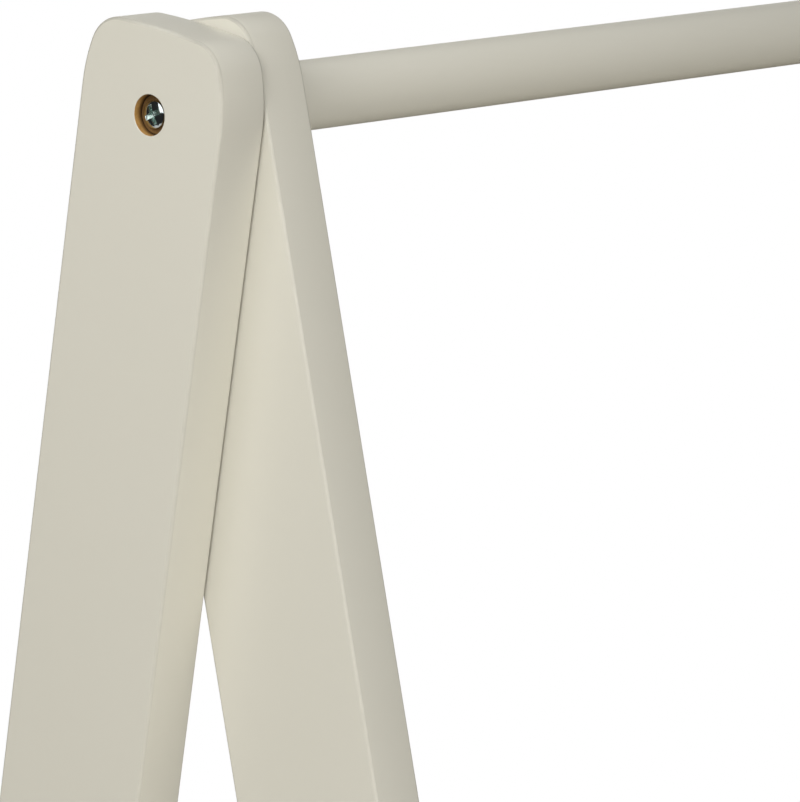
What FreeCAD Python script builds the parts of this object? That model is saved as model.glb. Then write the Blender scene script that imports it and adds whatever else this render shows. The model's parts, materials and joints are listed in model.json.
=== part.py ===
import FreeCAD, Part
import math
import os

# Kids clothing rack.
# Two frames of flat legs cross at the top, where one bolt at each end pins them to a round hanging rail.
# The back frame is the outer pair of legs with a low rail, and the front frame is the inner pair.
# A shelf turns on bolts in the front legs and drops over the low rail, which holds the frames apart.
# Millimetres, +Z up, +X along the rails to the right, +Y to the back.
# The origin is on the floor, midway between the four feet.

# Whole rack
OVERALL_LENGTH = 850.0
PIVOT_HEIGHT = 966.0
LEAN_DEGREES = 11.0

# Legs, flat boards with softened edges
# The top is a slow crown between two corners, and each corner runs out into a long shoulder on its side
LEG_WIDTH = 68.0
LEG_THICKNESS = 22.0
LEG_ABOVE_PIVOT = 31.2
LEG_CORNER_RADIUS = 14.0
LEG_SHOULDER_RADIUS = 60.0
LEG_HIGH_SHOULDER_DEGREES = 16.0
LEG_LOW_SHOULDER_DEGREES = 20.0
LEG_HIGH_FALL_DEGREES = 4.5
LEG_LOW_FALL_DEGREES = 2.8
LEG_FOOT_RADIUS = 4.0
LEG_EDGE_RADIUS = 1.2

# Round rails
RAIL_DIAMETER = 25.4

# Bolts with a low domed head and a cross recess
BOLT_DIAMETER = 6.0
BOLT_ENGAGEMENT = 20.0
BOLT_TIP_CHAMFER = 0.8
HEAD_DIAMETER = 10.0
HEAD_RIM_HEIGHT = 1.3
HEAD_DOME_HEIGHT = 1.1
RECESS_SPAN = 7.0
RECESS_ARM_WIDTH = 1.7
RECESS_DEPTH = 1.9
RECESS_TURN_DEGREES = -22.0
RECESS_FLOOR_SPAN_SHARE = 0.5
RECESS_FLOOR_WIDTH_SHARE = 0.7
COUNTERBORE_DIAMETER = 14.6
COUNTERBORE_DEPTH = 3.5

# Threaded inserts with barbed sides
INSERT_DIAMETER = 10.0
INSERT_LENGTH = 16.0
INSERT_BARB_DEPTH = 0.6
INSERT_BARB_COUNT = 5
BOLT_TIP_ROOM = 3.0

# Pivot washers between the legs, and spacers between the front legs and the shelf
WASHER_DIAMETER = 16.0
WASHER_THICKNESS = 0.5
SPACER_DIAMETER = 14.0
SPACER_THICKNESS = 1.0

# Shelf
SHELF_THICKNESS = 18.0
SHELF_PIVOT_HEIGHT = 180.0
SHELF_FRONT_OVERHANG = 28.0
SHELF_BACK_OVERHANG = 28.0
SHELF_CORNER_RADIUS = 12.0
SHELF_EDGE_RADIUS = 1.5
GROOVE_DEPTH = 4.0

# Foot glides and their nails
GLIDE_DIAMETER = 18.0
GLIDE_HEIGHT = 4.0
GLIDE_EDGE_RADIUS = 1.0
NAIL_DIAMETER = 2.0
NAIL_LENGTH = 18.0
NAIL_POINT_LENGTH = 3.0
NAIL_HEAD_DIAMETER = 6.0
NAIL_HEAD_HEIGHT = 1.0
NAIL_HEAD_SINK = 1.0

# Clearances and cuts
RUNNING_CLEARANCE = 0.08
FIT_CLEARANCE = 0.05
GROOVE_CLEARANCE = 0.3
CUT_OVERRUN = 2.0

# Sides of the rack, as signs along X and Y
LEFT = -1
RIGHT = 1
FRONT = -1
BACK = 1
SIDE_NAMES = {LEFT: "left", RIGHT: "right"}

# Places along X, as distances from the middle of the rack to either end
back_leg_outer = OVERALL_LENGTH / 2
back_leg_inner = back_leg_outer - LEG_THICKNESS
front_leg_outer = back_leg_inner - WASHER_THICKNESS
front_leg_inner = front_leg_outer - LEG_THICKNESS
shelf_end = front_leg_inner - SPACER_THICKNESS

# Places in the Y-Z plane
lean = math.radians(LEAN_DEGREES)
shelf_underside = SHELF_PIVOT_HEIGHT - SHELF_THICKNESS / 2
shelf_pivot_y = FRONT * (PIVOT_HEIGHT - SHELF_PIVOT_HEIGHT) * math.tan(lean)
low_rail_z = shelf_underside + GROOVE_DEPTH - GROOVE_CLEARANCE - RAIL_DIAMETER / 2
low_rail_y = BACK * (PIVOT_HEIGHT - low_rail_z) * math.tan(lean)
foot_distance = (PIVOT_HEIGHT - GLIDE_HEIGHT) * math.tan(lean)
hanging_rail_axis = (0, PIVOT_HEIGHT)
low_rail_axis = (low_rail_y, low_rail_z)
shelf_axis = (shelf_pivot_y, SHELF_PIVOT_HEIGHT)


def along_x(diameter, side, outer, inner, y, z):
    """Round bar along X between two distances from the middle of the rack, on one side of it."""
    start = FreeCAD.Vector(side * outer, y, z)
    return Part.makeCylinder(diameter / 2, outer - inner, start, FreeCAD.Vector(-side, 0, 0))


def turned(profile, axis_point, axis):
    """Solid of revolution from a closed profile wire."""
    return Part.Face(profile).revolve(axis_point, axis, 360)


def corner_arc(before, corner, after, radius):
    """Start, middle and end of the arc that rounds one corner of an outline."""
    to_before = (before - corner).normalize()
    to_after = (after - corner).normalize()
    half_angle = to_before.getAngle(to_after) / 2
    reach = radius / math.tan(half_angle)
    sagitta = radius / math.sin(half_angle) - radius
    middle = corner + (to_before + to_after).normalize() * sagitta
    return corner + to_before * reach, middle, corner + to_after * reach


def closed_outline(arcs):
    """Closed wire of arcs in order, with straight lines between those that don't already meet."""
    edges = []
    for place, (start, middle, end) in enumerate(arcs):
        next_start = arcs[(place + 1) % len(arcs)][0]
        edges.append(Part.Arc(start, middle, end).toShape())
        if not end.isEqual(next_start, FIT_CLEARANCE):
            edges.append(Part.LineSegment(end, next_start).toShape())
    return Part.Wire(edges)


def softened_board(outline, thickness, edge_radius):
    """Board from its outline and a thickness vector, with the edges of both faces rounded over."""
    board = Part.Face(outline).extrude(thickness)
    along = [abs(edge.tangentAt(edge.FirstParameter).dot(thickness)) for edge in board.Edges]
    square_edges = [edge for edge, length in zip(board.Edges, along) if length < edge_radius]
    return board.makeFillet(edge_radius, square_edges)


def leg_point(x, lean_side, lateral, up):
    """Point of a leg from its place across the leg, towards its high side, and up the leg from the pivot."""
    y = lean_side * (lateral * math.cos(lean) - up * math.sin(lean))
    z = PIVOT_HEIGHT + lateral * math.sin(lean) + up * math.cos(lean)
    return FreeCAD.Vector(x, y, z)


def leg_top_bends():
    """Radius and turn of each arc over a leg's top, from its high side to its low side."""
    high_shoulder = math.radians(LEG_HIGH_SHOULDER_DEGREES)
    low_shoulder = math.radians(LEG_LOW_SHOULDER_DEGREES)
    high_fall = math.radians(LEG_HIGH_FALL_DEGREES)
    low_fall = math.radians(LEG_LOW_FALL_DEGREES)
    crown_width = LEG_WIDTH
    for shoulder, fall in ((high_shoulder, high_fall), (low_shoulder, low_fall)):
        crown_width -= LEG_SHOULDER_RADIUS * (1 - math.cos(shoulder))
        crown_width -= LEG_CORNER_RADIUS * (math.cos(shoulder) - math.sin(fall))
    crown_radius = crown_width / (math.sin(high_fall) + math.sin(low_fall))
    return [
        (LEG_SHOULDER_RADIUS, high_shoulder),
        (LEG_CORNER_RADIUS, math.pi / 2 - high_shoulder - high_fall),
        (crown_radius, high_fall + low_fall),
        (LEG_CORNER_RADIUS, math.pi / 2 - low_shoulder - low_fall),
        (LEG_SHOULDER_RADIUS, low_shoulder),
    ]


def leg_top_arcs(x, lean_side):
    """Arcs over a leg's top, each as start, middle and end, with the crown at its height over the pivot."""
    across, up, heading = LEG_WIDTH / 2, 0, 0
    places = []
    crests = []
    for radius, turn in leg_top_bends():
        centre_across = across - radius * math.cos(heading)
        centre_up = up - radius * math.sin(heading)
        angles = (heading, heading + turn / 2, heading + turn)
        arc = [(centre_across + radius * math.cos(a), centre_up + radius * math.sin(a)) for a in angles]
        places.append(arc)
        crests.append(centre_up + radius)
        across, up = places[-1][-1]
        heading += turn
    crown_crest = crests[len(crests) // 2]
    lift = LEG_ABOVE_PIVOT - crown_crest
    return [[leg_point(x, lean_side, across, up + lift) for across, up in arc] for arc in places]


def leg_board(side, lean_side, outer):
    """One leg without its bores: a leaning board with a rounded top and a foot cut level with the floor."""
    x = side * outer
    arcs = leg_top_arcs(x, lean_side)
    feet = []
    for lateral in (-LEG_WIDTH / 2, LEG_WIDTH / 2):
        foot = (GLIDE_HEIGHT - PIVOT_HEIGHT - lateral * math.sin(lean)) / math.cos(lean)
        feet.append(leg_point(x, lean_side, lateral, foot))
    arcs.append(corner_arc(arcs[-1][-1], feet[0], feet[1], LEG_FOOT_RADIUS))
    arcs.append(corner_arc(feet[0], feet[1], arcs[0][0], LEG_FOOT_RADIUS))
    thickness = FreeCAD.Vector(-side * LEG_THICKNESS, 0, 0)
    return softened_board(closed_outline(arcs), thickness, LEG_EDGE_RADIUS)


def bolt_bore(side, outer, y, z, clearance):
    """Counterbore and through bore for a bolt, from a leg's outer face inwards."""
    counterbore_floor = outer - COUNTERBORE_DEPTH
    counterbore = along_x(COUNTERBORE_DIAMETER, side, outer + CUT_OVERRUN, counterbore_floor, y, z)
    return counterbore.fuse(plain_bore(side, outer, y, z, clearance))


def plain_bore(side, outer, y, z, clearance):
    """Through bore for a bolt's shank, from one face of a leg to the other."""
    inner = outer - LEG_THICKNESS - CUT_OVERRUN
    return along_x(BOLT_DIAMETER + 2 * clearance, side, outer + CUT_OVERRUN, inner, y, z)


def foot_place(side, outer, lean_side, z):
    """Point on the upright line through the middle of a leg's foot."""
    return FreeCAD.Vector(side * (outer - LEG_THICKNESS / 2), lean_side * foot_distance, z)


def nail_bore(side, outer, lean_side):
    """Pilot bore for a glide's nail, up into the foot of a leg."""
    base = foot_place(side, outer, lean_side, GLIDE_HEIGHT - CUT_OVERRUN)
    depth = NAIL_HEAD_SINK + NAIL_LENGTH + FIT_CLEARANCE - GLIDE_HEIGHT + CUT_OVERRUN
    return Part.makeCylinder(NAIL_DIAMETER / 2 + FIT_CLEARANCE, depth, base)


def back_leg(side):
    """Outer leg: turns on the pivot bolt and carries one end of the low rail."""
    leg = leg_board(side, BACK, back_leg_outer)
    leg = leg.cut(bolt_bore(side, back_leg_outer, *hanging_rail_axis, RUNNING_CLEARANCE))
    leg = leg.cut(bolt_bore(side, back_leg_outer, *low_rail_axis, FIT_CLEARANCE))
    return leg.cut(nail_bore(side, back_leg_outer, BACK))


def front_leg(side):
    """Inner leg: clamped to the hanging rail, with the bearing of one shelf bolt."""
    leg = leg_board(side, FRONT, front_leg_outer)
    leg = leg.cut(plain_bore(side, front_leg_outer, *hanging_rail_axis, FIT_CLEARANCE))
    leg = leg.cut(bolt_bore(side, front_leg_outer, *shelf_axis, RUNNING_CLEARANCE))
    return leg.cut(nail_bore(side, front_leg_outer, FRONT))


def insert_seat(side, end, y, z):
    """Stepped bore in the end of a rail or the shelf: the insert's seat, then room for the bolt's tip."""
    seat = along_x(INSERT_DIAMETER + 2 * FIT_CLEARANCE, side, end + CUT_OVERRUN, end - INSERT_LENGTH, y, z)
    tip_end = end - BOLT_ENGAGEMENT - BOLT_TIP_ROOM
    return seat.fuse(along_x(BOLT_DIAMETER + 2 * FIT_CLEARANCE, side, end + CUT_OVERRUN, tip_end, y, z))


def rail(end, y, z):
    """Round rail between two legs, bored at both ends for its inserts."""
    bar = along_x(RAIL_DIAMETER, RIGHT, end, -end, y, z)
    for side in SIDE_NAMES:
        bar = bar.cut(insert_seat(side, end, y, z))
    return bar


def shelf_board():
    """Shelf with bored ends and a shallow round groove that drops over the low rail."""
    front = shelf_pivot_y - SHELF_FRONT_OVERHANG
    back = low_rail_y + SHELF_BACK_OVERHANG
    places = [(shelf_end, front), (shelf_end, back), (-shelf_end, back), (-shelf_end, front)]
    corners = [FreeCAD.Vector(x, y, shelf_underside) for x, y in places]
    neighbours = zip(corners[-1:] + corners, corners, corners[1:] + corners[:1])
    arcs = [corner_arc(*trio, SHELF_CORNER_RADIUS) for trio in neighbours]
    board = softened_board(closed_outline(arcs), FreeCAD.Vector(0, 0, SHELF_THICKNESS), SHELF_EDGE_RADIUS)
    groove_diameter = RAIL_DIAMETER + 2 * GROOVE_CLEARANCE
    groove_end = shelf_end + CUT_OVERRUN
    board = board.cut(along_x(groove_diameter, RIGHT, groove_end, -groove_end, *low_rail_axis))
    for side in SIDE_NAMES:
        board = board.cut(insert_seat(side, shelf_end, *shelf_axis))
    return board


def cross_outline(x, span, arm_width, turn):
    """Cross-shaped wire square to X, for one level of a bolt's recess."""
    tip = span / 2
    half = arm_width / 2
    quarter = [(tip, -half), (tip, half), (half, half)]
    points = []
    for arm in range(4):
        angle = turn + arm * math.pi / 2
        for across, up in quarter:
            y = across * math.cos(angle) - up * math.sin(angle)
            z = across * math.sin(angle) + up * math.cos(angle)
            points.append(FreeCAD.Vector(x, y, z))
    return Part.makePolygon(points + points[:1])


def bolt(side, leg_face, thread_start, y, z):
    """Bolt with its head in the counterbore of a leg's outer face and its tip engaged past thread_start."""
    seat = leg_face - COUNTERBORE_DEPTH
    length = seat - thread_start + BOLT_ENGAGEMENT
    radius = BOLT_DIAMETER / 2
    head = HEAD_DIAMETER / 2
    top = -(HEAD_RIM_HEIGHT + HEAD_DOME_HEIGHT)
    dome_radius = (head ** 2 + HEAD_DOME_HEIGHT ** 2) / (2 * HEAD_DOME_HEIGHT)
    half_angle = math.asin(head / dome_radius) / 2
    dome_middle_x = top + dome_radius * (1 - math.cos(half_angle))
    dome_middle = FreeCAD.Vector(dome_middle_x, dome_radius * math.sin(half_angle), 0)
    tip = radius - BOLT_TIP_CHAMFER
    corners = [(-HEAD_RIM_HEIGHT, head), (0, head), (0, radius), (length - BOLT_TIP_CHAMFER, radius)]
    corners += [(length, tip), (length, 0), (top, 0)]
    points = [FreeCAD.Vector(along, out, 0) for along, out in corners]
    dome = Part.Arc(points[-1], dome_middle, points[0]).toShape()
    profile = Part.Wire([dome] + Part.makePolygon(points).Edges)
    solid = turned(profile, FreeCAD.Vector(), FreeCAD.Vector(1, 0, 0))
    turn = math.radians(RECESS_TURN_DEGREES)
    mouth = cross_outline(top, RECESS_SPAN, RECESS_ARM_WIDTH, turn)
    floor_span = RECESS_SPAN * RECESS_FLOOR_SPAN_SHARE
    floor_width = RECESS_ARM_WIDTH * RECESS_FLOOR_WIDTH_SHARE
    floor = cross_outline(top + RECESS_DEPTH, floor_span, floor_width, turn)
    solid = solid.cut(Part.makeLoft([mouth, floor], True, True))
    if side == RIGHT:
        solid.rotate(FreeCAD.Vector(), FreeCAD.Vector(0, 0, 1), 180)
    solid.translate(FreeCAD.Vector(side * seat, y, z))
    return solid


def threaded_insert(side, end, y, z):
    """Barbed sleeve, flush with the end that it sits in."""
    bore = BOLT_DIAMETER / 2 + FIT_CLEARANCE
    crest = INSERT_DIAMETER / 2
    step = INSERT_LENGTH / INSERT_BARB_COUNT
    corners = [(0, bore), (0, crest)]
    for barb in range(INSERT_BARB_COUNT):
        corners.append(((barb + 1) * step, crest - INSERT_BARB_DEPTH))
        if barb < INSERT_BARB_COUNT - 1:
            corners.append(((barb + 1) * step, crest))
    corners.append((INSERT_LENGTH, bore))
    points = [FreeCAD.Vector(along, out, 0) for along, out in corners]
    sleeve = turned(Part.makePolygon(points + points[:1]), FreeCAD.Vector(), FreeCAD.Vector(1, 0, 0))
    if side == RIGHT:
        sleeve.rotate(FreeCAD.Vector(), FreeCAD.Vector(0, 0, 1), 180)
    sleeve.translate(FreeCAD.Vector(side * end, y, z))
    return sleeve


def ring(diameter, side, outer, inner, y, z):
    """Flat ring round a bolt's shank, between two faces."""
    hole = along_x(BOLT_DIAMETER + 2 * FIT_CLEARANCE, side, outer + CUT_OVERRUN, inner - CUT_OVERRUN, y, z)
    return along_x(diameter, side, outer, inner, y, z).cut(hole)


def glide(side, outer, lean_side):
    """Moulded foot disc with a softened lower edge and a sunk hole for its nail."""
    disc = Part.makeCylinder(GLIDE_DIAMETER / 2, GLIDE_HEIGHT, foot_place(side, outer, lean_side, 0))
    lower_edge = [e for e in disc.Edges if e.BoundBox.ZMax < GLIDE_EDGE_RADIUS]
    disc = disc.makeFillet(GLIDE_EDGE_RADIUS, lower_edge)
    below = foot_place(side, outer, lean_side, -CUT_OVERRUN)
    head_depth = NAIL_HEAD_SINK + NAIL_HEAD_HEIGHT + CUT_OVERRUN
    disc = disc.cut(Part.makeCylinder(NAIL_HEAD_DIAMETER / 2 + FIT_CLEARANCE, head_depth, below))
    through = GLIDE_HEIGHT + 2 * CUT_OVERRUN
    return disc.cut(Part.makeCylinder(NAIL_DIAMETER / 2 + FIT_CLEARANCE, through, below))


def glide_nail(side, outer, lean_side):
    """Nail that holds a glide, with its head sunk in the disc."""
    radius = NAIL_DIAMETER / 2
    head = NAIL_HEAD_DIAMETER / 2
    point_start = NAIL_LENGTH - NAIL_POINT_LENGTH
    corners = [(0, 0), (head, 0), (head, NAIL_HEAD_HEIGHT), (radius, NAIL_HEAD_HEIGHT)]
    corners += [(radius, point_start), (0, NAIL_LENGTH)]
    points = [FreeCAD.Vector(out, 0, up) for out, up in corners]
    nail = turned(Part.makePolygon(points + points[:1]), FreeCAD.Vector(), FreeCAD.Vector(0, 0, 1))
    nail.translate(foot_place(side, outer, lean_side, NAIL_HEAD_SINK))
    return nail


nodes = {
    "hanging_rail": rail(front_leg_inner, *hanging_rail_axis),
    "low_rail": rail(back_leg_inner, *low_rail_axis),
    "shelf": shelf_board(),
}
for side, name in SIDE_NAMES.items():
    nodes[f"{name}_back_leg"] = back_leg(side)
    nodes[f"{name}_front_leg"] = front_leg(side)

    # Pivot at the top: bolt through both legs into the hanging rail, with a washer between the legs
    nodes[f"{name}_pivot_bolt"] = bolt(side, back_leg_outer, front_leg_inner, *hanging_rail_axis)
    washer_place = (side, back_leg_inner, front_leg_outer, *hanging_rail_axis)
    nodes[f"{name}_pivot_washer"] = ring(WASHER_DIAMETER, *washer_place)
    nodes[f"{name}_hanging_rail_insert"] = threaded_insert(side, front_leg_inner, *hanging_rail_axis)

    # Low rail: bolt through the back leg into the rail's end
    nodes[f"{name}_low_rail_bolt"] = bolt(side, back_leg_outer, back_leg_inner, *low_rail_axis)
    nodes[f"{name}_low_rail_insert"] = threaded_insert(side, back_leg_inner, *low_rail_axis)

    # Shelf pivot: bolt through the front leg and a spacer into the shelf's end
    nodes[f"{name}_shelf_bolt"] = bolt(side, front_leg_outer, shelf_end, *shelf_axis)
    spacer_place = (side, front_leg_inner, shelf_end, *shelf_axis)
    nodes[f"{name}_shelf_spacer"] = ring(SPACER_DIAMETER, *spacer_place)
    nodes[f"{name}_shelf_insert"] = threaded_insert(side, shelf_end, *shelf_axis)

    # Feet
    for frame_name, outer, lean_side in (("back", back_leg_outer, BACK), ("front", front_leg_outer, FRONT)):
        nodes[f"{name}_{frame_name}_glide"] = glide(side, outer, lean_side)
        nodes[f"{name}_{frame_name}_glide_nail"] = glide_nail(side, outer, lean_side)

os.makedirs("parts", exist_ok=True)
for name, shape in nodes.items():
    shape.exportStep(f"parts/{name}.step")
    state = "valid" if shape.isValid() else "not valid"
    print(name, len(shape.Solids), "solid,", state, round(shape.Volume), "mm3")
print("shelf pivot", shelf_axis, "low rail", low_rail_axis, "feet", foot_distance)
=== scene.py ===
import json
import math

import bmesh
import bpy
from mathutils import Matrix, Vector


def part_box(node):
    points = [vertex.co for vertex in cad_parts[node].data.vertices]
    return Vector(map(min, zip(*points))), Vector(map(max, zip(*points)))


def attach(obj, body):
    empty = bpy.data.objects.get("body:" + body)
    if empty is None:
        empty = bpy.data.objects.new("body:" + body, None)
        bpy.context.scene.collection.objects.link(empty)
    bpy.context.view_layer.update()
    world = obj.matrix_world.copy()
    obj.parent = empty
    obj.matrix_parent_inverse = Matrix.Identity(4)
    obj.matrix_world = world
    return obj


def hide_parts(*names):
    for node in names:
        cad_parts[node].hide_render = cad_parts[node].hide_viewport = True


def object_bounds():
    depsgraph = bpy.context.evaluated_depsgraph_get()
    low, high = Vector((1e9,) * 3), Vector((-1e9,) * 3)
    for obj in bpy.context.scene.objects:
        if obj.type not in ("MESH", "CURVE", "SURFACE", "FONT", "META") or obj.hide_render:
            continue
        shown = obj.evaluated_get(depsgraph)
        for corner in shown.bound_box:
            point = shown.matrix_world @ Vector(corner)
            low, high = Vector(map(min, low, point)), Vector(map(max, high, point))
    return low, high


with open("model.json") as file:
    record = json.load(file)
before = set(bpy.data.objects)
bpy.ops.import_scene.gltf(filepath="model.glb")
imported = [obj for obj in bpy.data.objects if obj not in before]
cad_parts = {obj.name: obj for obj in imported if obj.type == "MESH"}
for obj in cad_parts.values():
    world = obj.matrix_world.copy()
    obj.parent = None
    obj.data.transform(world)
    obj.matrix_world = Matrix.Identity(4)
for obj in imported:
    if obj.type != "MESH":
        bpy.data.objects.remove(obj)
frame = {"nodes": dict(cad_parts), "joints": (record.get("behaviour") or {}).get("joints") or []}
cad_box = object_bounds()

# Legs
# Four flat legs of fibreboard, sawn to shape, rounded over along every edge and sprayed with lacquer.
# The back pair stands outside the front pair. Bolt holes are drilled after spraying, so they show bare
# board, and the drill's rim leaves a fine groove round the floor of each counterbore.
MM = 0.001
LEG_WIDTH = 68 * MM
LEG_LEAN = math.radians(11)
LEG_ABOVE_PIVOT = 31.2 * MM
LEG_CORNER_RADIUS = 14 * MM
LEG_SHOULDER_RADIUS = 60 * MM
LEG_SHOULDERS = [math.radians(16), math.radians(20)]
LEG_FALLS = [math.radians(4.5), math.radians(2.8)]
LEG_FOOT_RADIUS = 4 * MM
ROUND_OVER = 1.2 * MM
ROUND_OVER_STEPS = 6
FLAT_BAND = 0.4 * MM
CORNER_STEPS = 24
BORE_RADIUS = 3.08 * MM
BORE_STEPS = 72
COUNTERBORE_RADIUS = 7.3 * MM
COUNTERBORE_DEPTH = 3.5 * MM
COUNTERBORE_LIP = 0.15 * MM
LIP_STEPS = 3
RIM_GROOVE = 0.5 * MM
SHARP_ANGLE = math.radians(32)
LACQUER, BARE_BOARD = 0, 1
LACQUER_PALE = "D2CFC3"
LACQUER_DEEP = "D0CDC0"
# Darker colour painted over the rounded edges as painted shade, to tone down the highlight the lamps give
# them.
PAINTED_EDGE_SHADE = "C0BDB1"
LACQUER_ROUGHNESS = (0.38, 0.46)
LACQUER_IOR = 1.48
CLOUD_SIZE = 70 * MM
PEEL_SIZE = 1.6 * MM
PEEL_DEPTH = 0.1 * MM
PEEL_STRENGTH = 0.06
EDGE_SHADE_PATCH_SIZE = 5 * MM
# The least and the most of the painted edge shade that shows, from place to place.
EDGE_SHADE_SPREAD = (0.6, 1.0)
# Painted edge shade made deeper round the corners of the top, where the rounded edge catches the most light,
# and how far that reaches.
CORNER_SHADE_BOOST = 1.6
CORNER_REACH = 18 * MM
BOARD_PALE = "BE9558"
BOARD_DARK = "906A35"
# Colour of the painted shade in the counterbores, full in the groove round the floor.
BOARD_PAINTED_SHADE = "36210B"
BOARD_ROUGHNESS = 0.85
# Real fibres are finer: they are drawn this coarse so that they show.
FIBRE_SIZE = 0.5 * MM
LAYER_SIZE = 0.2 * MM
FIBRE_DEPTH = 0.2 * MM
FIBRE_STRENGTH = 0.5
FIBRE_CONTRAST = (0.1, 0.4)
BLOTCH_SIZE = 5 * MM
# Share of the painted shade on the floor of a counterbore, fading up its wall and down the bore.
FLOOR_SHADE_SHARE = 0.65
# The sockets of a Mix node go by number, because their names repeat.
FACTOR, FIRST_COLOUR, SECOND_COLOUR, MIXED_COLOUR = 0, 6, 7, 2


def linear(colour):
    """Linear colour from an sRGB hex value."""
    shares = [int(colour[place:place + 2], 16) / 255 for place in (0, 2, 4)]
    straight = [share / 12.92 if share <= 0.04045 else ((share + 0.055) / 1.055) ** 2.4 for share in shares]
    return straight + [1.0]


def add_node(tree, kind, inputs=None, **settings):
    """Adds a node with its settings, and sets its sockets or links them to other nodes' outputs."""
    node = tree.nodes.new(kind)
    for name, value in settings.items():
        setattr(node, name, value)
    for name, value in (inputs or {}).items():
        if isinstance(value, bpy.types.NodeSocket):
            tree.links.new(value, node.inputs[name])
        else:
            node.inputs[name].default_value = value
    return node


def new_material(name):
    """New material, with its empty node tree and its object coordinates."""
    material = bpy.data.materials.new(name)
    material.use_nodes = True
    tree = material.node_tree
    tree.nodes.clear()
    place = add_node(tree, "ShaderNodeTexCoord").outputs["Object"]
    return material, tree, place


def satin_lacquer(name):
    """Satin sprayed lacquer: even colour with a slow cloudiness, a faint orange peel that softens the gleam,
    and a darker colour painted over the rounded edges as painted shade, deepest round the corners of the
    top."""
    material, tree, place = new_material(name)
    cloud = add_node(tree, "ShaderNodeTexNoise", {"Vector": place, "Scale": 1 / CLOUD_SIZE, "Detail": 3.0})
    shade_patches = add_node(tree, "ShaderNodeTexNoise", {"Vector": place, "Scale": 1 / EDGE_SHADE_PATCH_SIZE})
    peel = add_node(tree, "ShaderNodeTexNoise", {"Vector": place, "Scale": 1 / PEEL_SIZE, "Detail": 2.0})
    face = add_node(tree, "ShaderNodeMix", {
        FACTOR: cloud.outputs[0], FIRST_COLOUR: linear(LACQUER_PALE), SECOND_COLOUR: linear(LACQUER_DEEP)},
        data_type="RGBA")
    rounded = add_node(tree, "ShaderNodeAttribute", attribute_name="edge_shade_weight")
    uneven = add_node(tree, "ShaderNodeMapRange", {
        "Value": shade_patches.outputs[0], "To Min": EDGE_SHADE_SPREAD[0], "To Max": EDGE_SHADE_SPREAD[1]})
    # Painted shade over the rounded edges: its weight along the edge, varied from place to place.
    thin = add_node(tree, "ShaderNodeMath", {0: rounded.outputs["Fac"], 1: uneven.outputs[0]},
                    operation="MULTIPLY")
    colour = add_node(tree, "ShaderNodeMix", {
        FACTOR: thin.outputs[0], FIRST_COLOUR: face.outputs[MIXED_COLOUR],
        SECOND_COLOUR: linear(PAINTED_EDGE_SHADE)}, data_type="RGBA", clamp_factor=False)
    gleam = add_node(tree, "ShaderNodeMapRange", {
        "Value": peel.outputs[0], "To Min": LACQUER_ROUGHNESS[0], "To Max": LACQUER_ROUGHNESS[1]})
    relief = add_node(tree, "ShaderNodeBump", {
        "Height": peel.outputs[0], "Strength": PEEL_STRENGTH, "Distance": PEEL_DEPTH})
    shader = add_node(tree, "ShaderNodeBsdfPrincipled", {
        "Base Color": colour.outputs[MIXED_COLOUR], "Roughness": gleam.outputs[0],
        "Normal": relief.outputs[0], "IOR": LACQUER_IOR})
    add_node(tree, "ShaderNodeOutputMaterial", {"Surface": shader.outputs[0]})
    return material


def bare_fibreboard(name):
    """Drilled fibreboard: dry brown fibres in layers along the face, with no gleam, and painted shade that
    darkens the groove round the floor of the hole, the floor, and the wall and bore near it."""
    material, tree, place = new_material(name)
    layered = add_node(tree, "ShaderNodeVectorMath", {0: place, 1: (FIBRE_SIZE / LAYER_SIZE, 1.0, 1.0)},
                       operation="MULTIPLY")
    fibre = add_node(tree, "ShaderNodeTexNoise", {
        "Vector": layered.outputs[0], "Scale": 1 / FIBRE_SIZE, "Detail": 4.0})
    blotch = add_node(tree, "ShaderNodeTexNoise", {"Vector": place, "Scale": 1 / BLOTCH_SIZE})
    shade = add_node(tree, "ShaderNodeMath", {0: fibre.outputs[0], 1: blotch.outputs[0]},
                     operation="MULTIPLY")
    depth = add_node(tree, "ShaderNodeMapRange", {
        "Value": shade.outputs[0], "From Min": FIBRE_CONTRAST[0], "From Max": FIBRE_CONTRAST[1]})
    board = add_node(tree, "ShaderNodeMix", {
        FACTOR: depth.outputs[0], FIRST_COLOUR: linear(BOARD_DARK), SECOND_COLOUR: linear(BOARD_PALE)},
        data_type="RGBA")
    # Painted shade in the counterbores, from the mesh.
    hole_shade = add_node(tree, "ShaderNodeAttribute", attribute_name="hole_shade")
    colour = add_node(tree, "ShaderNodeMix", {
        FACTOR: hole_shade.outputs["Fac"], FIRST_COLOUR: board.outputs[MIXED_COLOUR],
        SECOND_COLOUR: linear(BOARD_PAINTED_SHADE)}, data_type="RGBA")
    relief = add_node(tree, "ShaderNodeBump", {
        "Height": fibre.outputs[0], "Strength": FIBRE_STRENGTH, "Distance": FIBRE_DEPTH})
    shader = add_node(tree, "ShaderNodeBsdfPrincipled", {
        "Base Color": colour.outputs[MIXED_COLOUR], "Normal": relief.outputs[0],
        "Roughness": BOARD_ROUGHNESS})
    add_node(tree, "ShaderNodeOutputMaterial", {"Surface": shader.outputs[0]})
    return material


def bearing(angle):
    """Unit vector at an angle."""
    return Vector((math.cos(angle), math.sin(angle)))


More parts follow.
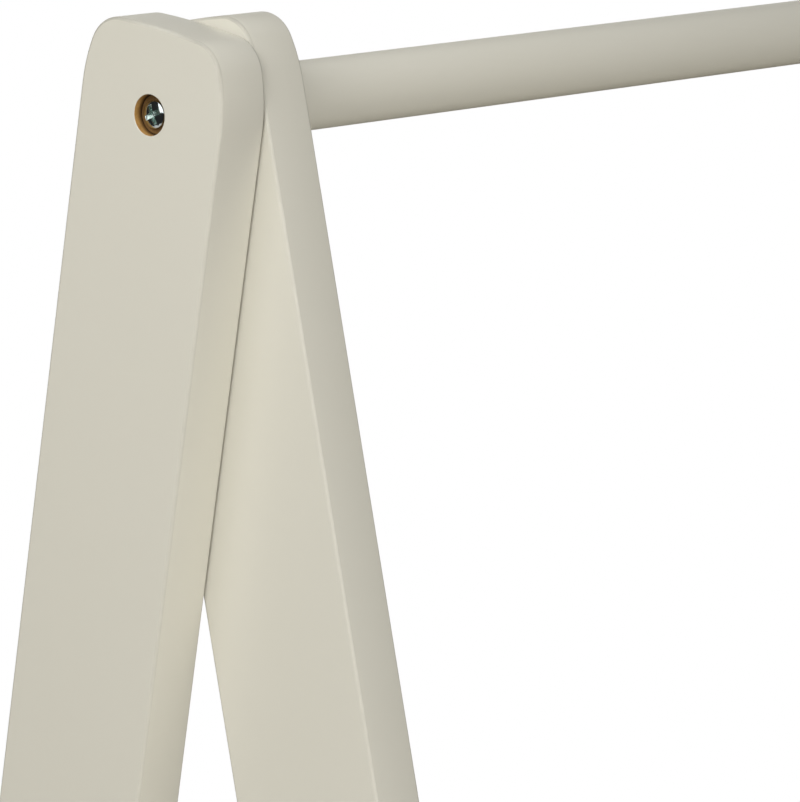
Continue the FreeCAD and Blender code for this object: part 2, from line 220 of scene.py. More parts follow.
def leg_arcs(floor_below):
    """A leg's outline as arcs, with the leg upright and the pivot at the origin: centre, radius, first
    angle and turn. The top is one shallow crown with a tight and a slow bend on each side of it."""
    half = LEG_WIDTH / 2
    crown_width = LEG_WIDTH
    for shoulder, fall in zip(LEG_SHOULDERS, LEG_FALLS):
        crown_width -= LEG_SHOULDER_RADIUS * (1 - math.cos(shoulder))
        crown_width -= LEG_CORNER_RADIUS * (math.cos(shoulder) - math.sin(fall))
    crown_radius = crown_width / sum(math.sin(fall) for fall in LEG_FALLS)
    corner_turns = [math.pi / 2 - shoulder - fall for shoulder, fall in zip(LEG_SHOULDERS, LEG_FALLS)]
    radii = [LEG_SHOULDER_RADIUS, LEG_CORNER_RADIUS, crown_radius, LEG_CORNER_RADIUS, LEG_SHOULDER_RADIUS]
    turns = [LEG_SHOULDERS[0], corner_turns[0], sum(LEG_FALLS), corner_turns[1], LEG_SHOULDERS[1]]
    arcs = []
    place, heading = Vector((half, 0)), 0.0
    for radius, turn in zip(radii, turns):
        centre = place - radius * bearing(heading)
        arcs.append((centre, radius, heading, turn))
        heading += turn
        place = centre + radius * bearing(heading)
    crown_centre = arcs[2][0]
    lift = Vector((0, LEG_ABOVE_PIVOT - crown_centre.y - crown_radius))
    arcs = [(centre + lift, radius, first, turn) for centre, radius, first, turn in arcs]
    for across, turn in ((-half, math.pi / 2 - LEG_LEAN), (half, math.pi / 2 + LEG_LEAN)):
        corner = Vector((across, -(floor_below + across * math.sin(LEG_LEAN)) / math.cos(LEG_LEAN)))
        inward = (bearing(heading) + bearing(heading + turn)) / (1 + math.cos(turn))
        arcs.append((corner - LEG_FOOT_RADIUS * inward, LEG_FOOT_RADIUS, heading, turn))
        heading += turn
    return arcs


def outline_points(arcs, inset):
    """Points round an outline, drawn in from its edge."""
    points = []
    for centre, radius, first, turn in arcs:
        for step in range(CORNER_STEPS + 1):
            points.append(centre + (radius - inset) * bearing(first + turn * step / CORNER_STEPS))
    return points


def circle_points(centre, radius, steps):
    """Points round a circle."""
    return [centre + radius * bearing(2 * math.pi * step / steps) for step in range(steps)]


def rounded_edge(radius, steps):
    """Points over a rounded edge, from the face to the side: inset, depth, and its weight of painted edge
    shade.
    """
    points = []
    for step in range(steps + 1):
        angle = math.pi / 2 * step / steps
        bend = math.sqrt(max(0.0, math.sin(2 * angle)))
        points.append((radius * (1 - math.sin(angle)), radius * (1 - math.cos(angle)), bend))
    return points


def join_rings(shape, rings, material):
    """Bands of faces between each ring of points and the next."""
    for first, second in zip(rings, rings[1:]):
        for number in range(len(first)):
            corners = (first[number - 1], first[number], second[number], second[number - 1])
            shape.faces.new(corners).material_index = material


def finish_piece(name, shape, materials):
    """Outward facing, smooth mesh with its sharp corners kept, as an object at the origin."""
    bmesh.ops.recalc_face_normals(shape, faces=shape.faces)
    mesh = bpy.data.meshes.new(name)
    shape.to_mesh(mesh)
    shape.free()
    mesh.shade_smooth()
    mesh.set_sharp_from_angle(angle=SHARP_ANGLE)
    for material in materials:
        mesh.materials.append(material)
    piece = bpy.data.objects.new(name, mesh)
    bpy.context.scene.collection.objects.link(piece)
    return piece


def drilled_leg(name, side, lean_side, box, bores):
    """One leg: rings of its outline from face to face, drilled, with both faces filled round the holes."""
    outer, inner = (box[0].x, box[1].x) if side < 0 else (box[1].x, box[0].x)
    thickness = abs(outer - inner)
    arcs = leg_arcs(pivot.y - box[0].z)
    top_corners = [centre + radius * bearing(first + turn / 2) for centre, radius, first, turn in arcs
                   if radius == LEG_CORNER_RADIUS]
    lean_across = Vector((lean_side * math.cos(LEG_LEAN), math.sin(LEG_LEAN)))
    lean_up = Vector((-lean_side * math.sin(LEG_LEAN), math.cos(LEG_LEAN)))

    shape = bmesh.new()
    # Weight of the painted edge shade at each point.
    rounded = shape.verts.layers.float.new("edge_shade_weight")
    # Weight of the painted shade in the counterbores at each point.
    hole_shade_layer = shape.verts.layers.float.new("hole_shade")

    def ring(points, depth, hole_shade=0.0):
        x = outer - side * depth
        verts = [shape.verts.new((x, point.x, point.y)) for point in points]
        for vert in verts:
            vert[hole_shade_layer] = hole_shade
        return verts

    def edge_ring(inset, depth, bend):
        points = outline_points(arcs, inset)
        verts = ring([pivot + point.x * lean_across + point.y * lean_up for point in points], depth)
        for vert, point in zip(verts, points):
            # Painted edge shade, made stronger near the corners of the top.
            away = min((point - corner).length for corner in top_corners)
            vert[rounded] = bend * (1 + CORNER_SHADE_BOOST * math.exp(-(away / CORNER_REACH) ** 2))
        return verts

    levels = [(ROUND_OVER + FLAT_BAND, 0.0, 0.0)] + rounded_edge(ROUND_OVER, ROUND_OVER_STEPS)
    levels += [(inset, thickness - depth, bend) for inset, depth, bend in reversed(levels)]
    edge_rings = [edge_ring(*level) for level in levels]
    join_rings(shape, edge_rings, LACQUER)

    outer_loops, inner_loops = [edge_rings[0]], [edge_rings[-1]]
    for centre, counterbored in bores:
        lip = []
        profile = [(BORE_RADIUS, 0.0, 0.0), (BORE_RADIUS, thickness, 0.0)]
        if counterbored:
            lip = [(COUNTERBORE_RADIUS + COUNTERBORE_LIP + FLAT_BAND, 0.0)]
            for inset, depth, bend in rounded_edge(COUNTERBORE_LIP, LIP_STEPS):
                lip.append((COUNTERBORE_RADIUS + inset, depth))
            # Painted shade in the hole: darkest in the groove round the floor, a share on the floor, fading
            # up the wall and down the bore.
            profile = [(*lip[-1], 0.0), (COUNTERBORE_RADIUS, COUNTERBORE_DEPTH / 2, 0.0),
                       (COUNTERBORE_RADIUS, COUNTERBORE_DEPTH - RIM_GROOVE, FLOOR_SHADE_SHARE),
                       (COUNTERBORE_RADIUS, COUNTERBORE_DEPTH + RIM_GROOVE, 1.0),
                       (COUNTERBORE_RADIUS - RIM_GROOVE, COUNTERBORE_DEPTH, FLOOR_SHADE_SHARE),
                       (BORE_RADIUS, COUNTERBORE_DEPTH, FLOOR_SHADE_SHARE), (BORE_RADIUS, thickness, 0.0)]
        lip_rings = [ring(circle_points(centre, radius, BORE_STEPS), depth) for radius, depth in lip[:-1]]
        bore_rings = []
        for radius, depth, hole_shade in profile:
            bore_rings.append(ring(circle_points(centre, radius, BORE_STEPS), depth, hole_shade))
        join_rings(shape, lip_rings + bore_rings[:1], LACQUER)
        join_rings(shape, bore_rings, BARE_BOARD)
        outer_loops.append((lip_rings + bore_rings)[0])
        inner_loops.append(bore_rings[-1])
    for loops in (outer_loops, inner_loops):
        edges = [shape.edges.get((loop[number - 1], loop[number]))
                 for loop in loops for number in range(len(loop))]
        bmesh.ops.triangle_fill(shape, edges=edges, use_beauty=True)
    return finish_piece(name, shape, [board_lacquer, raw_board])


board_lacquer = satin_lacquer("satin_lacquer_on_fibreboard")
raw_board = bare_fibreboard("drilled_fibreboard")
joints = {joint["name"]: joint for joint in frame["joints"]}
pivot = Vector(joints["frame_fold"]["pos_m"]).yz
shelf_pivot = Vector(joints["shelf_lift"]["pos_m"]).yz
low_rail_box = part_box("low_rail")
low_rail_axis = ((low_rail_box[0] + low_rail_box[1]) / 2).yz
SIDES = {"left": -1, "right": 1}
for side_name, side in SIDES.items():
    for frame_name, lean_side, bores in (
            ("back", 1, [(pivot, True), (low_rail_axis, True)]),
            ("front", -1, [(pivot, False), (shelf_pivot, True)])):
        node = f"{side_name}_{frame_name}_leg"
        leg = drilled_leg(node + "_board", side, lean_side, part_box(node), bores)
        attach(leg, frame_name + "_frame")
        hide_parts(node)

# Rails
# Two round bars of turned wood, sprayed with the same lacquer as the legs, eased at their ends and drilled
# there for the inserts. The hanging rail is held between the front legs, the low rail between the back legs.
RAIL_STEPS = 144
RAIL_END_EASING = 0.6 * MM
INSERT_SEAT = (5.05 * MM, 16 * MM)
BOLT_ROOM = (3.05 * MM, 23 * MM)
BARE_WOOD = 1


def turned_rail(name, box):
    """One rail: rings from the bottom of the hole in one end to the bottom of the hole in the other."""
    radius = (box[1].z - box[0].z) / 2
    axis = ((box[0] + box[1]) / 2).yz
    half_length = (box[1].x - box[0].x) / 2
    hole = [BOLT_ROOM, (BOLT_ROOM[0], INSERT_SEAT[1]), INSERT_SEAT, (INSERT_SEAT[0], 0.0)]
    easing = [(radius - inset, depth) for inset, depth, bend in rounded_edge(RAIL_END_EASING, LIP_STEPS)]
    shape = bmesh.new()
    ends = []
    for end in (-1, 1):
        tip = shape.verts.new((end * (half_length - BOLT_ROOM[1]), axis.x, axis.y))
        rings = []
        for ring_radius, depth in hole + easing:
            x = end * (half_length - depth)
            points = circle_points(axis, ring_radius, RAIL_STEPS)
            rings.append([shape.verts.new((x, point.x, point.y)) for point in points])
        for number in range(RAIL_STEPS):
            shape.faces.new((tip, rings[0][number - 1], rings[0][number])).material_index = BARE_WOOD
        join_rings(shape, rings[:len(hole)], BARE_WOOD)
        join_rings(shape, rings[len(hole) - 1:], LACQUER)
        ends.append(rings[-1])
    join_rings(shape, ends, LACQUER)
    return finish_piece(name, shape, [rail_lacquer, raw_wood])


rail_lacquer = satin_lacquer("satin_lacquer_on_turned_wood")
raw_wood = bare_fibreboard("drilled_wood")
for node, body in (("hanging_rail", "front_frame"), ("low_rail", "back_frame")):
    rail = turned_rail(node + "_bar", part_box(node))
    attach(rail, body)
    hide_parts(node)

# Shelf
# One flat board of fibreboard with rounded corners, sprayed like the legs. It turns on two bolts in the
# front legs, and a groove under its back edge drops over the low rail.
frame["nodes"]["shelf"].data.materials[0] = board_lacquer

# Bolts
# Six plated steel bolts, cold headed with a low domed head and a punched cross recess, with a rolled thread.
# Each is drawn up to the floor of its counterbore and screwed into an insert: two at the pivot, two at the
# low rail and two at the shelf.
HEAD_RADIUS = 5 * MM
HEAD_RIM_HEIGHT = 1.3 * MM
HEAD_DOME_HEIGHT = 1.1 * MM
HEAD_HEIGHT = HEAD_RIM_HEIGHT + HEAD_DOME_HEIGHT
HEAD_EASING = 0.25 * MM
HEAD_STEPS = (1 / 3, 2 / 3, 1)
SEAT_EASING = 0.12 * MM
RECESS_ARMS = 4
RECESS_SPAN = 7 * MM
RECESS_ARM_WIDTH = 1.7 * MM
RECESS_DEPTH = 1.9 * MM
RECESS_LIP = 0.18 * MM
RECESS_TIP = 0.4 * MM
FLOOR_SPAN_SHARE = 0.5
FLOOR_WIDTH_SHARE = 0.7
RECESS_TURN = math.radians(-22)
# How far over the recess's lip each ring stands, and how much the bath has pooled there.
LIP_RINGS = ((0.0, 1.0), (0.3, 0.5), (1.0, 0.0))
SHANK_RADIUS = 3 * MM
THREAD_ROOT = 2.5 * MM
THREAD_PITCH = 1 * MM
# How steeply the flanks of the thread rise, in depths of the thread to a pitch.
THREAD_SLOPE = 3
THREAD_STEPS = 8
PLAIN_SHANK = 8 * MM
MADE_SHANK = 38 * MM
TIP_CHAMFER = 0.8 * MM
PLATING_CLEAR = "C3CACB"
PLATING_CLOUDED = "B4BCBC"
PLATING_POOLED = "C2D4CE"
PLATING_ROUGHNESS = (0.06, 0.14)
PLATING_CLOUD_SIZE = 3 * MM
PUNCHED_ROUGHNESS = 0.15
# The real tears are finer: they are drawn this coarse so that they show.
PUNCHED_GRAIN = 0.5 * MM
FIRST_NUMBER, SECOND_NUMBER = 2, 3


def passivated_plating(name):
    """Passivated zinc on steel: a bright mirror a little clouded by the bath, and green and grainy where the
    punch has torn the steel and the bath has pooled in the recess."""
    material, tree, place = new_material(name)
    cloud = add_node(tree, "ShaderNodeTexNoise", {
        "Vector": place, "Scale": 1 / PLATING_CLOUD_SIZE, "Detail": 3.0})
    plating = add_node(tree, "ShaderNodeMix", {
        FACTOR: cloud.outputs[0], FIRST_COLOUR: linear(PLATING_CLEAR),
        SECOND_COLOUR: linear(PLATING_CLOUDED)}, data_type="RGBA")
    recess = add_node(tree, "ShaderNodeAttribute", attribute_name="recess")
    colour = add_node(tree, "ShaderNodeMix", {
        FACTOR: recess.outputs["Fac"], FIRST_COLOUR: plating.outputs[MIXED_COLOUR],
        SECOND_COLOUR: linear(PLATING_POOLED)}, data_type="RGBA")
    gleam = add_node(tree, "ShaderNodeMapRange", {
        "Value": cloud.outputs[0], "To Min": PLATING_ROUGHNESS[0], "To Max": PLATING_ROUGHNESS[1]})
    dulled = add_node(tree, "ShaderNodeMix", {
        FACTOR: recess.outputs["Fac"], FIRST_NUMBER: gleam.outputs[0], SECOND_NUMBER: PUNCHED_ROUGHNESS})
    grain = add_node(tree, "ShaderNodeTexNoise", {"Vector": place, "Scale": 1 / PUNCHED_GRAIN})
    relief = add_node(tree, "ShaderNodeBump", {
        "Height": grain.outputs[0], "Strength": recess.outputs["Fac"], "Distance": PUNCHED_GRAIN / 2})
    shader = add_node(tree, "ShaderNodeBsdfPrincipled", {
        "Base Color": colour.outputs[MIXED_COLOUR], "Metallic": 1.0, "Roughness": dulled.outputs[0],
        "Normal": relief.outputs[0]})
    add_node(tree, "ShaderNodeOutputMaterial", {"Surface": shader.outputs[0]})
    return material


def cross_bolt(name):
    """One bolt along X, with its seat at 0 and its head below it: rings from the bottom of the recess over
    the dome and down the shank to the tip."""
    dome_radius = (HEAD_RADIUS ** 2 + HEAD_DOME_HEIGHT ** 2) / (2 * HEAD_DOME_HEIGHT)
    quarter = 2 * math.pi / RECESS_ARMS
    corner = math.atan(RECESS_ARM_WIDTH / RECESS_SPAN)
    gap = (quarter / 2 - corner) / 3
    half_arm = [-quarter / 2, -corner - 2 * gap, -corner - gap, -corner, -corner / 2]
    off_arm = half_arm + [0.0] + [-angle for angle in reversed(half_arm[1:])]
    angles = [arm * quarter + angle for arm in range(RECESS_ARMS) for angle in off_arm]

    def cross(span, width):
        reach = []
        for angle in off_arm:
            sideways = max(abs(math.sin(angle)), width / span / 2)
            reach.append(min(span / 2 / math.cos(angle), width / 2 / sideways))
        return reach * RECESS_ARMS

    def dome(radius):
        return dome_radius - math.sqrt(dome_radius ** 2 - radius ** 2) - HEAD_HEIGHT

    floor = cross(RECESS_SPAN * FLOOR_SPAN_SHARE, RECESS_ARM_WIDTH * FLOOR_WIDTH_SHARE)
    mouth = cross(RECESS_SPAN, RECESS_ARM_WIDTH)
    rings = [([RECESS_DEPTH - HEAD_HEIGHT] * len(angles), floor, 1.0)]
    for share, pooled in LIP_RINGS:
        lip = [radius + share * RECESS_LIP for radius in mouth]
        rings.append(([dome(radius) + (1 - share) ** 2 * RECESS_LIP for radius in lip], lip, pooled))
    dome_edge = HEAD_RADIUS - HEAD_EASING
    for share in HEAD_STEPS:
        radii = [radius + share * (dome_edge - radius) for radius in lip]
        rings.append(([dome(radius) for radius in radii], radii, 0.0))
    turned = []
    rim = dome(HEAD_RADIUS)
    for share in HEAD_STEPS:
        x = (1 - share) ** 2 * dome(dome_edge) + 2 * share * (1 - share) * rim
        x += share ** 2 * (rim + HEAD_EASING)
        turned.append((x, HEAD_RADIUS - (1 - share) ** 2 * HEAD_EASING))
    turned += [(-SEAT_EASING, HEAD_RADIUS), (0.0, HEAD_RADIUS - SEAT_EASING), (0.0, SHANK_RADIUS)]
    turned += [(PLAIN_SHANK - THREAD_PITCH, SHANK_RADIUS)]
    rings += [([x] * len(angles), [radius] * len(angles), 0.0) for x, radius in turned]
    for step in range(round((MADE_SHANK - PLAIN_SHANK) / THREAD_PITCH * THREAD_STEPS) + 1):
        x = PLAIN_SHANK + step * THREAD_PITCH / THREAD_STEPS
        run_in = min(1, (x - PLAIN_SHANK) / THREAD_PITCH)
        chamfer = THREAD_ROOT - TIP_CHAMFER / 2 + MADE_SHANK - x
        radii = []
        for angle in angles:
            from_crest = abs((x / THREAD_PITCH - angle / (2 * math.pi)) % 1 - 0.5)
            crest = min(1, max(0, 0.5 + THREAD_SLOPE / 4 - THREAD_SLOPE * from_crest))
            radii.append(min(chamfer, SHANK_RADIUS - (1 - crest) * run_in * (SHANK_RADIUS - THREAD_ROOT)))
        rings.append(([x] * len(angles), radii, 0.0))

    shape = bmesh.new()
    recess = shape.verts.layers.float.new("recess")
    made = []
    for along, radii, pooled in rings:
        made.append([])
        for x, radius, angle in zip(along, radii, angles):
            vert = shape.verts.new((x, radius * math.cos(angle), radius * math.sin(angle)))
            vert[recess] = pooled
            made[-1].append(vert)
    join_rings(shape, made, 0)
    tips = [(made[0], RECESS_DEPTH + RECESS_TIP - HEAD_HEIGHT, 1.0), (made[-1], MADE_SHANK, 0.0)]
    for ring, x, pooled in tips:
        tip = shape.verts.new((x, 0.0, 0.0))
        tip[recess] = pooled
        for number in range(len(ring)):
            shape.faces.new((tip, ring[number - 1], ring[number]))
    return finish_piece(name, shape, [])


def bolt_tree():
    """Lengthens the bolt, sets one at each place with its head outward, and plates them."""
    tree = bpy.data.node_groups.new("bolts", "GeometryNodeTree")
    for name, kind in (("Places", "NodeSocketGeometry"), ("Bolt", "NodeSocketObject"),
                       ("Extra Length", "NodeSocketFloat"), ("Plating", "NodeSocketMaterial")):
        tree.interface.new_socket(name, in_out="INPUT", socket_type=kind)
    tree.interface.new_socket("Bolts", in_out="OUTPUT", socket_type="NodeSocketGeometry")
    given = add_node(tree, "NodeGroupInput").outputs
    bolt = add_node(tree, "GeometryNodeObjectInfo", {"Object": given["Bolt"]})
    position = add_node(tree, "GeometryNodeInputPosition")
    along = add_node(tree, "ShaderNodeSeparateXYZ", {0: position.outputs[0]})
    threaded = add_node(tree, "FunctionNodeCompare", {0: along.outputs["X"], 1: PLAIN_SHANK / 2},
                        operation="GREATER_THAN")
    offset = add_node(tree, "ShaderNodeCombineXYZ", {"X": given["Extra Length"]})
    longer = add_node(tree, "GeometryNodeSetPosition", {
        "Geometry": bolt.outputs["Geometry"], "Selection": threaded.outputs[0], "Offset": offset.outputs[0]})
    turn = add_node(tree, "GeometryNodeInputNamedAttribute", {"Name": "turn"}, data_type="FLOAT")
    on_right = add_node(tree, "FunctionNodeCompare", {0: along.outputs["X"], 1: 0.0},
                        operation="GREATER_THAN")
    half_turn = add_node(tree, "ShaderNodeMath", {0: on_right.outputs[0], 1: math.pi}, operation="MULTIPLY")
    angles = add_node(tree, "ShaderNodeCombineXYZ", {
        "X": turn.outputs["Attribute"], "Z": half_turn.outputs[0]})
    rotation = add_node(tree, "FunctionNodeEulerToRotation", {0: angles.outputs[0]})
    placed = add_node(tree, "GeometryNodeInstanceOnPoints", {
        "Points": given["Places"], "Instance": longer.outputs[0], "Rotation": rotation.outputs[0]})
    real = add_node(tree, "GeometryNodeRealizeInstances", {0: placed.outputs[0]})
    plated = add_node(tree, "GeometryNodeSetMaterial", {
        "Geometry": real.outputs[0], "Material": given["Plating"]})
    add_node(tree, "NodeGroupOutput", {0: plated.outputs[0]})
    return tree


plated_steel = passivated_plating("passivated_zinc_on_steel")
made_bolt = cross_bolt("made_bolt")
bolts_tree = bolt_tree()
sockets = {item.name: item.identifier for item in bolts_tree.interface.items_tree if item.in_out == "INPUT"}
for kind, body, turns in (("pivot_bolt", "front_frame", (RECESS_TURN, -RECESS_TURN)),
                          ("low_rail_bolt", "back_frame", (-RECESS_TURN / 2, RECESS_TURN / 2)),
                          ("shelf_bolt", "shelf", (RECESS_TURN * 2, RECESS_TURN / 3))):
    nodes = [f"{side_name}_{kind}" for side_name in SIDES]
    seats = []
    for node, side in zip(nodes, SIDES.values()):
        low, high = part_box(node)
        head, tip = (low.x, high.x) if side < 0 else (high.x, low.x)
        axis = ((low + high) / 2).yz
        seats.append((head - side * HEAD_HEIGHT, axis.x, axis.y))
        shank = abs(tip - head) - HEAD_HEIGHT
    places = bpy.data.meshes.new(kind + "_places")
    places.from_pydata(seats, [], [])
    places.attributes.new("turn", "FLOAT", "POINT").data.foreach_set("value", turns)
    holder = bpy.data.objects.new(kind + "_places", places)
    bpy.context.scene.collection.objects.link(holder)
    modifier = holder.modifiers.new("bolts", "NODES")
    modifier.node_group = bolts_tree
    modifier[sockets["Bolt"]] = made_bolt
    modifier[sockets["Extra Length"]] = shank - MADE_SHANK
    modifier[sockets["Plating"]] = plated_steel
    evaluated = holder.evaluated_get(bpy.context.evaluated_depsgraph_get())
    bolts = bpy.data.objects.new(kind + "s", bpy.data.meshes.new_from_object(evaluated))
    bpy.context.scene.collection.objects.link(bolts)
    bpy.data.objects.remove(holder)
    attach(bolts, body)
    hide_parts(*nodes)
bpy.data.objects.remove(made_bolt)

# Inserts
# Threaded bushes of die-cast zinc, pressed into the ends of the rails and the shelf, one for each bolt.
# Their surface is dull and slightly rough from the mould.
CAST_PALE = "A9ABAA"
CAST_DULL = "8E9090"
CAST_GRAIN = 0.3 * MM
CAST_ROUGHNESS = 0.6
GRAIN_STRENGTH = 0.2


def dull_metal(name, pale, dull, grain, roughest):
    """Bare metal with a dull skin: a fine grain breaks up the reflection and darkens it in patches."""
    material, tree, place = new_material(name)
    speck = add_node(tree, "ShaderNodeTexNoise", {"Vector": place, "Scale": 1 / grain, "Detail": 3.0})
    colour = add_node(tree, "ShaderNodeMix", {
        FACTOR: speck.outputs[0], FIRST_COLOUR: linear(pale), SECOND_COLOUR: linear(dull)},
        data_type="RGBA")
    gleam = add_node(tree, "ShaderNodeMapRange", {
        "Value": speck.outputs[0], "To Min": roughest / 2, "To Max": roughest})
    relief = add_node(tree, "ShaderNodeBump", {
        "Height": speck.outputs[0], "Strength": GRAIN_STRENGTH, "Distance": grain / 4})
    shader = add_node(tree, "ShaderNodeBsdfPrincipled", {
        "Base Color": colour.outputs[MIXED_COLOUR], "Metallic": 1.0, "Roughness": gleam.outputs[0],
        "Normal": relief.outputs[0]})
    add_node(tree, "ShaderNodeOutputMaterial", {"Surface": shader.outputs[0]})
    return material


cast_zinc = dull_metal("die_cast_zinc", CAST_PALE, CAST_DULL, CAST_GRAIN, CAST_ROUGHNESS)
for side_name in SIDES:
    for kind in ("hanging_rail_insert", "low_rail_insert", "shelf_insert"):
        frame["nodes"][f"{side_name}_{kind}"].data.materials[0] = cast_zinc

# Washers and spacers
# Thin rings of natural nylon, moulded, between each pair of legs and between the shelf and the front legs,
# so that lacquer never rubs on lacquer.
NYLON_PALE = "E6E1D3"
NYLON_DEEP = "DAD4C2"
NYLON_FLOW = 4 * MM
NYLON_SINK = 0.6 * MM
NYLON_ROUGHNESS = 0.45
PLASTIC_IOR = 1.52
PLASTIC_SPREAD = 0.2
PLASTIC_TRANSLUCENCE = 0.3


def moulded_plastic(name, pale, deep, flow, sink, roughness):
    """Moulded plastic: waxy, a little see-through at thin edges, with slow flow marks in its colour."""
    material, tree, place = new_material(name)
    marks = add_node(tree, "ShaderNodeTexNoise", {"Vector": place, "Scale": 1 / flow, "Detail": 3.0})
    colour = add_node(tree, "ShaderNodeMix", {
        FACTOR: marks.outputs[0], FIRST_COLOUR: linear(pale), SECOND_COLOUR: linear(deep)},
        data_type="RGBA")
    gleam = add_node(tree, "ShaderNodeMapRange", {
        "Value": marks.outputs[0], "To Min": roughness * (1 - PLASTIC_SPREAD),
        "To Max": roughness * (1 + PLASTIC_SPREAD)})
    shader = add_node(tree, "ShaderNodeBsdfPrincipled", {
        "Base Color": colour.outputs[MIXED_COLOUR], "Roughness": gleam.outputs[0], "IOR": PLASTIC_IOR,
        "Subsurface Weight": PLASTIC_TRANSLUCENCE, "Subsurface Scale": sink})
    add_node(tree, "ShaderNodeOutputMaterial", {"Surface": shader.outputs[0]})
    return material


nylon = moulded_plastic("natural_nylon", NYLON_PALE, NYLON_DEEP, NYLON_FLOW, NYLON_SINK, NYLON_ROUGHNESS)
for side_name in SIDES:
    for kind in ("pivot_washer", "shelf_spacer"):
        frame["nodes"][f"{side_name}_{kind}"].data.materials[0] = nylon

# Glides
# Four round pads of polyethylene under the feet, moulded with a softened lower edge. Each is held by one
# nail through a sunk hole.
GLIDE_PALE = "CFCABC"
GLIDE_DEEP = "C2BCAC"
GLIDE_FLOW = 6 * MM
GLIDE_SINK = 1 * MM
GLIDE_ROUGHNESS = 0.5
FRAMES = ("back", "front")
glide_plastic = moulded_plastic("moulded_polyethylene", GLIDE_PALE, GLIDE_DEEP, GLIDE_FLOW, GLIDE_SINK,
                                GLIDE_ROUGHNESS)
for side_name in SIDES:
    for frame_name in FRAMES:
        frame["nodes"][f"{side_name}_{frame_name}_glide"].data.materials[0] = glide_plastic

# Glide nails
# Short nails of bright drawn steel with flat heads. Each is driven up into the foot of a leg, and its head
# is sunk in the glide.
NAIL_PALE = "B9B8B3"
NAIL_DULL = "9C9B96"
NAIL_GRAIN = 0.4 * MM
NAIL_ROUGHNESS = 0.4
drawn_steel = dull_metal("drawn_steel", NAIL_PALE, NAIL_DULL, NAIL_GRAIN, NAIL_ROUGHNESS)
for side_name in SIDES:
    for frame_name in FRAMES:
        frame["nodes"][f"{side_name}_{frame_name}_glide_nail"].data.materials[0] = drawn_steel

# Floor
# A plain pale floor, matt, that keeps the rack's shadow and fades to white away from the rack. From below
# it is clear, so that it hides nothing.
FLOOR_RADIUS = 4.0
FLOOR_STEPS = 96
FLOOR_COLOUR = "ADA799"
FLOOR_WHITENED = 0.45
FADE_START = 0.9
FADE_END = 2.4
WHITE = "FFFFFF"


def seen_rays(tree):
    """1 for rays that show what is around the rack, straight or in a reflection, and 0 for light."""
    path = add_node(tree, "ShaderNodeLightPath").outputs
    seen = add_node(tree, "ShaderNodeMath", {0: path["Is Camera Ray"], 1: path["Is Glossy Ray"]},
                    operation="ADD")
    seen = add_node(tree, "ShaderNodeMath", {0: seen.outputs[0], 1: path["Is Transmission Ray"]},
                    operation="ADD", use_clamp=True)
    return seen.outputs[0]


shape = bmesh.new()
bmesh.ops.create_circle(shape, cap_ends=True, segments=FLOOR_STEPS, radius=FLOOR_RADIUS)
floor_material, tree, place = new_material("pale_floor")
reach = add_node(tree, "ShaderNodeVectorMath", {0: place}, operation="LENGTH")
fade = add_node(tree, "ShaderNodeMapRange", {
    "Value": reach.outputs["Value"], "From Min": FADE_START, "From Max": FADE_END,
    "To Min": FLOOR_WHITENED}, interpolation_type="SMOOTHSTEP")
shown_fade = add_node(tree, "ShaderNodeMath", {0: fade.outputs[0], 1: seen_rays(tree)}, operation="MULTIPLY")
matt = add_node(tree, "ShaderNodeBsdfDiffuse", {"Color": linear(FLOOR_COLOUR)})
white = add_node(tree, "ShaderNodeEmission", {"Color": linear(WHITE), "Strength": 1.0})
top_side = add_node(tree, "ShaderNodeMixShader", {
    0: shown_fade.outputs[0], 1: matt.outputs[0], 2: white.outputs[0]})
clear = add_node(tree, "ShaderNodeBsdfTransparent")
facing = add_node(tree, "ShaderNodeNewGeometry")
surface = add_node(tree, "ShaderNodeMixShader", {
    0: facing.outputs["Backfacing"], 1: top_side.outputs[0], 2: clear.outputs[0]})
add_node(tree, "ShaderNodeOutputMaterial", {"Surface": surface.outputs[0]})
floor = finish_piece("floor", shape, [floor_material])

# Surround
# A white studio all round. It is seen at full strength, straight and in reflections, but gives the rack only
# a little light.
AMBIENT = 0.02

world = bpy.data.worlds.new("white_studio")
bpy.context.scene.world = world
world.use_nodes = True
tree = world.node_tree
tree.nodes.clear()
strength = add_node(tree, "ShaderNodeMapRange", {"Value": seen_rays(tree), "To Min": AMBIENT, "To Max": 1.0})
sky = add_node(tree, "ShaderNodeBackground", {"Color": linear(WHITE), "Strength": strength.outputs[0]})
add_node(tree, "ShaderNodeOutputWorld", {"Surface": sky.outputs[0]})

# Dark cards
# Dark card laid on the floor round the rack and stood up as a wall, seen only in reflections, so that metal
# has something to mirror. It is open on the floor off the near end, where the head of the bolt mirrors it,
# and low down behind the rack.
CARD_START = 0.8
CARD_LIFT = 2 * MM
OPEN_FLOOR = 1.8
OPEN_FLOOR_STEPS = range(30, 50)
WALL_RADIUS = 3.9
WALL_HEIGHT = 8.0
BACKDROP_HEIGHT = 2.3
BACKDROP_STEPS = range(3, 20)
WALL_COLOUR = "303030"

shape = bmesh.new()
walls = []
for radius, z in ((CARD_START, CARD_LIFT), (OPEN_FLOOR, CARD_LIFT), (WALL_RADIUS, CARD_LIFT),
                  (WALL_RADIUS, BACKDROP_HEIGHT), (WALL_RADIUS, WALL_HEIGHT)):
    points = circle_points(Vector((0, 0)), radius, FLOOR_STEPS)
    walls.append([shape.verts.new((point.x, point.y, z)) for point in points])
join_rings(shape, walls, 0)
shape.faces.ensure_lookup_table()
backdrop_band = 2 * FLOOR_STEPS
openings = [*OPEN_FLOOR_STEPS, *(backdrop_band + step for step in BACKDROP_STEPS)]
bmesh.ops.delete(shape, geom=[shape.faces[number] for number in openings], context="FACES_ONLY")
wall_material, tree, place = new_material("dark_cards")
card = add_node(tree, "ShaderNodeEmission", {"Color": linear(WALL_COLOUR)})
add_node(tree, "ShaderNodeOutputMaterial", {"Surface": card.outputs[0]})
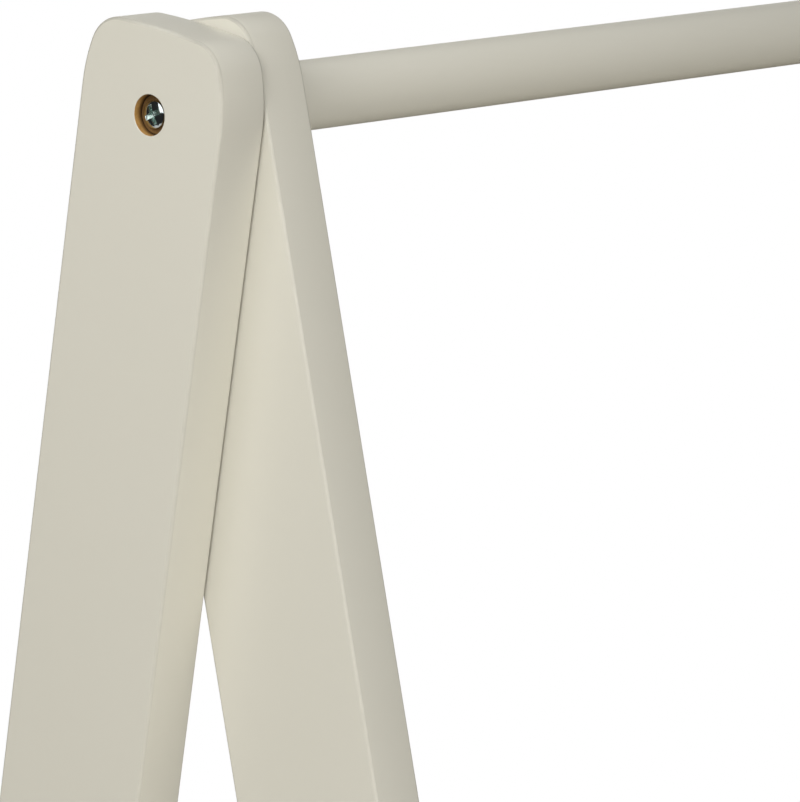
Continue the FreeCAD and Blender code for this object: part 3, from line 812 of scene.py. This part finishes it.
wall = finish_piece("dark_cards", shape, [wall_material])
wall.visible_camera = False
wall.visible_diffuse = False
wall.visible_shadow = False
wall.visible_transmission = False

# Lamps
# Soft square lamps round the near end of the rack, which light it and show in no reflection, and one white
# card, high off the near end, which is seen only in reflections.
LAMP_AIM = Vector((-0.42, 0.0, 0.9))
# Direction from the aim, distance, size, how bright it makes white that faces it, seen in reflections only.
LAMPS = {
    "end_softbox": (-0.93, -0.25, 0.26, 2.6, 1.0, 0.245, False),
    "corner_softbox": (-0.663, -0.557, 0.5, 2.6, 1.4, 0.285, False),
    "high_softbox": (-0.71, 0.0, 0.71, 2.6, 1.6, 0.55, False),
    "side_softbox": (-0.26, -0.966, 0.09, 2.8, 1.6, 0.51, False),
    "back_softbox": (0.0, 0.5, 0.87, 2.6, 1.6, 0.245, False),
    "far_softbox": (0.95, 0.2, 0.06, 3.6, 2.0, 0.28, False),
    "rear_softbox": (0.25, 0.96, 0.08, 3.2, 2.0, 0.22, False),
    "white_card": (-0.86, -0.15, 0.485, 2.6, 2.4, 0.6, True),
}

for name, (x, y, z, distance, size, level, mirrored_only) in LAMPS.items():
    direction = Vector((x, y, z)).normalized()
    lamp = bpy.data.lights.new(name, "AREA")
    lamp.size = size
    lamp.energy = level * (math.pi * distance) ** 2
    lamp_object = bpy.data.objects.new(name, lamp)
    lamp_object.location = LAMP_AIM + direction * distance
    lamp_object.rotation_euler = direction.to_track_quat("Z", "Y").to_euler()
    lamp_object.visible_camera = False
    lamp_object.visible_diffuse = not mirrored_only
    lamp_object.visible_glossy = mirrored_only
    bpy.context.scene.collection.objects.link(lamp_object)

# Camera
# A long lens a little above the top of the rack, turned off the near end, as in the photograph. Its place
# follows from where the near pivot falls in the picture and how far away it is.
PHOTO_WIDTH, PHOTO_HEIGHT = 800, 802
FOCAL_PIXELS = 4961.85
HEADING = math.radians(41.095)
LOOKING_DOWN = math.radians(9.319)
ROLL = math.radians(-0.842)
PIVOT_PIXEL = (149.21, 115.28)
PIVOT_DEPTH = 1.72018
SENSOR_MM = 36

view = Vector((math.cos(LOOKING_DOWN) * math.cos(HEADING), math.cos(LOOKING_DOWN) * math.sin(HEADING),
               -math.sin(LOOKING_DOWN)))
level_right = Vector((math.sin(HEADING), -math.cos(HEADING), 0))
level_up = level_right.cross(view)
right = math.cos(ROLL) * level_right + math.sin(ROLL) * level_up
up = math.cos(ROLL) * level_up - math.sin(ROLL) * level_right
pixel = PIVOT_DEPTH / FOCAL_PIXELS
near_pivot = Vector((cad_box[0].x, pivot.x, pivot.y))
camera = bpy.data.objects.new("camera", bpy.data.cameras.new("camera"))
stand = near_pivot - PIVOT_DEPTH * view
stand -= (PIVOT_PIXEL[0] - PHOTO_WIDTH / 2) * pixel * right
stand += (PIVOT_PIXEL[1] - PHOTO_HEIGHT / 2) * pixel * up
camera.matrix_world = Matrix.Translation(stand) @ Matrix((right, up, -view)).transposed().to_4x4()
camera.data.sensor_width = SENSOR_MM
camera.data.lens = FOCAL_PIXELS * SENSOR_MM / max(PHOTO_WIDTH, PHOTO_HEIGHT)
bpy.context.scene.collection.objects.link(camera)
bpy.context.scene.camera = camera
bpy.context.scene.view_settings.view_transform = "Standard"
